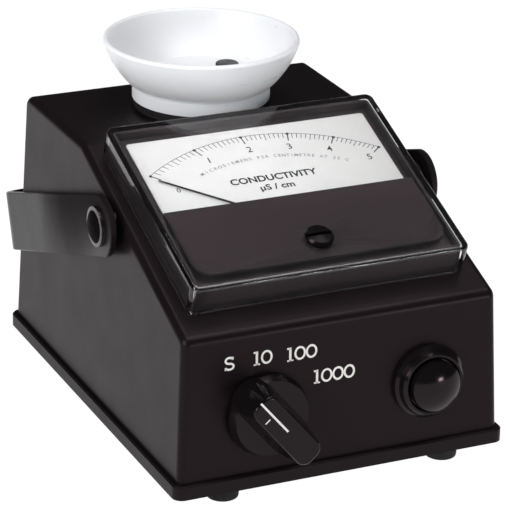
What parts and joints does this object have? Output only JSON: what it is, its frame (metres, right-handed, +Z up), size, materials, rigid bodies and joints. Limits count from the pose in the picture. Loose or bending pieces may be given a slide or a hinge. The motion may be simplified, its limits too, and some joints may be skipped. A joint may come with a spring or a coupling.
{
  "type": "bench conductivity meter",
  "caption": "Drafted black case with a sloping panel meter, white sample cup on top, range knob and push button on the front, and a swinging carrying strap.",
  "frame": {"origin": "centre of the footprint of the whole object, on the surface that the rubber feet stand on", "axes": "+X to the right of someone facing the dial, -Y towards that person (knob and button side), +Z up"},
  "size_m": [0.109, 0.1578, 0.1018],
  "materials": {
    "case_black": "satin moulded plastic",
    "base_black": "satin moulded plastic",
    "gloss_black": "polished moulded plastic",
    "strap_black": "satin moulded nylon",
    "meter_black": "moulded plastic",
    "clear_acrylic": "clear polished acrylic",
    "dial_white": "matt white paint",
    "mask_grey": "matt moulded plastic",
    "needle_black": "blackened",
    "coil_copper": "enamelled copper wire",
    "movement_alloy": "machined",
    "movement_iron": "ground",
    "spring_bronze": "phosphor bronze",
    "cup_white": "moulded plastic",
    "electrode_steel": "dull stainless steel",
    "rubber_black": "moulded rubber",
    "screw_steel": "plated",
    "stud_dark": "blackened and polished",
    "fitting_brass": "turned",
    "print_white": "white filler",
    "switch_phenolic": "phenolic moulding",
    "circuit_green": "solder mask",
    "chip_black": "moulded epoxy",
    "can_aluminium": "sleeved can",
    "resistor_tan": "lacquered",
    "trimmer_blue": "moulded plastic",
    "battery_label": "printed steel can"
  },
  "bodies": {
    "body": {"base_plate": "base_black", "base_screws": "screw_steel", "battery": "battery_label", "battery_clip": "screw_steel", "battery_snap": "chip_black", "button_bushing": "stud_dark", "button_collar": "gloss_black", "button_nut": "fitting_brass", "button_spring": "screw_steel", "button_switch": "switch_phenolic", "capacitors": "can_aluminium", "case": "case_black", "cell_cup": "cup_white", "cell_electrodes": "electrode_steel", "chips": "chip_black", "circuit_board": "circuit_green", "core_magnet": "movement_iron", "core_supports": "movement_alloy", "cup_gasket": "rubber_black", "cup_nut": "cup_white", "dial_plate": "dial_white", "dial_screws": "screw_steel", "foot_screws": "screw_steel", "front_bridge": "movement_alloy", "hairsprings": "spring_bronze", "jewel_screws": "fitting_brass", "meter_cover": "clear_acrylic", "meter_housing": "meter_black", "meter_mask": "mask_grey", "meter_nuts": "screw_steel", "meter_terminals": "fitting_brass", "meter_yoke": "movement_iron", "pan_screws": "screw_steel", "rear_bridge": "movement_alloy", "resistors": "resistor_tan", "rubber_feet": "rubber_black", "standoffs": "fitting_brass", "strap_studs": "stud_dark", "strap_washers": "rubber_black", "switch_body": "switch_phenolic", "switch_bushing": "fitting_brass", "switch_nut": "screw_steel", "temperature_sensor": "screw_steel", "trimmers": "trimmer_blue"},
    "pointer": {"needle": "needle_black", "balance_weights": "screw_steel", "moving_coil": "coil_copper", "pivot_staff": "screw_steel"},
    "zero_screw": {"zero_screw": "gloss_black"},
    "zero_arm": {"zero_arm": "movement_alloy"},
    "knob": {"range_knob": "gloss_black", "knob_pointer_line": "print_white", "knob_set_screw": "screw_steel", "switch_shaft": "fitting_brass", "switch_rotor": "switch_phenolic"},
    "button": {"button_cap": "gloss_black", "button_plunger": "print_white"},
    "strap": {"carrying_strap": "strap_black"},
    "trimmer_low": {"trimmer_rotor_low": "fitting_brass"},
    "trimmer_high": {"trimmer_rotor_high": "fitting_brass"}
  },
  "joints": [
    {"name": "needle_sweep", "type": "hinge", "parent": "body", "child": "pointer", "pos_m": [0.0006, -0.03393, 0.06147], "axis": [0, 0.3572, -0.934], "range_deg": [0, 105], "stiffness_Nm_per_rad": 0.0005, "deforming": ["hairsprings"]},
    {"name": "zero_screw_turn", "type": "hinge", "parent": "body", "child": "zero_screw", "pos_m": [0.0006, -0.04159, 0.05854], "axis": [0, -0.3572, 0.934], "range_deg": [-20, 20]},
    {"name": "zero_arm_turn", "type": "hinge", "parent": "body", "child": "zero_arm", "pos_m": [0.0006, -0.03393, 0.06147], "axis": [0, -0.3572, 0.934], "range_deg": [-8, 8]},
    {"name": "range_switch", "type": "hinge", "parent": "body", "child": "knob", "pos_m": [-0.0235, -0.06391, 0.02549], "axis": [0, 0.9992, -0.041], "range_deg": [0, 108]},
    {"name": "button_press", "type": "slide", "parent": "body", "child": "button", "axis": [0, 0.9992, -0.041], "range_m": [0, 0.0025], "stiffness_N_per_m": 300, "springref_m": -0.003, "deforming": ["button_spring"]},
    {"name": "strap_swing", "type": "hinge", "parent": "body", "child": "strap", "pos_m": [0, -0.00902, 0.0652], "axis": [1, 0, 0], "range_deg": [0, 210]},
    {"name": "trimmer_low_turn", "type": "hinge", "parent": "body", "child": "trimmer_low", "pos_m": [0.026, 0.03038, 0.0248], "axis": [0, 0, 1], "range_deg": [-135, 135]},
    {"name": "trimmer_high_turn", "type": "hinge", "parent": "body", "child": "trimmer_high", "pos_m": [0.026, 0.04338, 0.0248], "axis": [0, 0, 1], "range_deg": [-135, 135]}
  ],
  "couplings": [
    {"joint": "zero_arm_turn", "follows": "zero_screw_turn", "ratio": -0.36667}
  ]
}
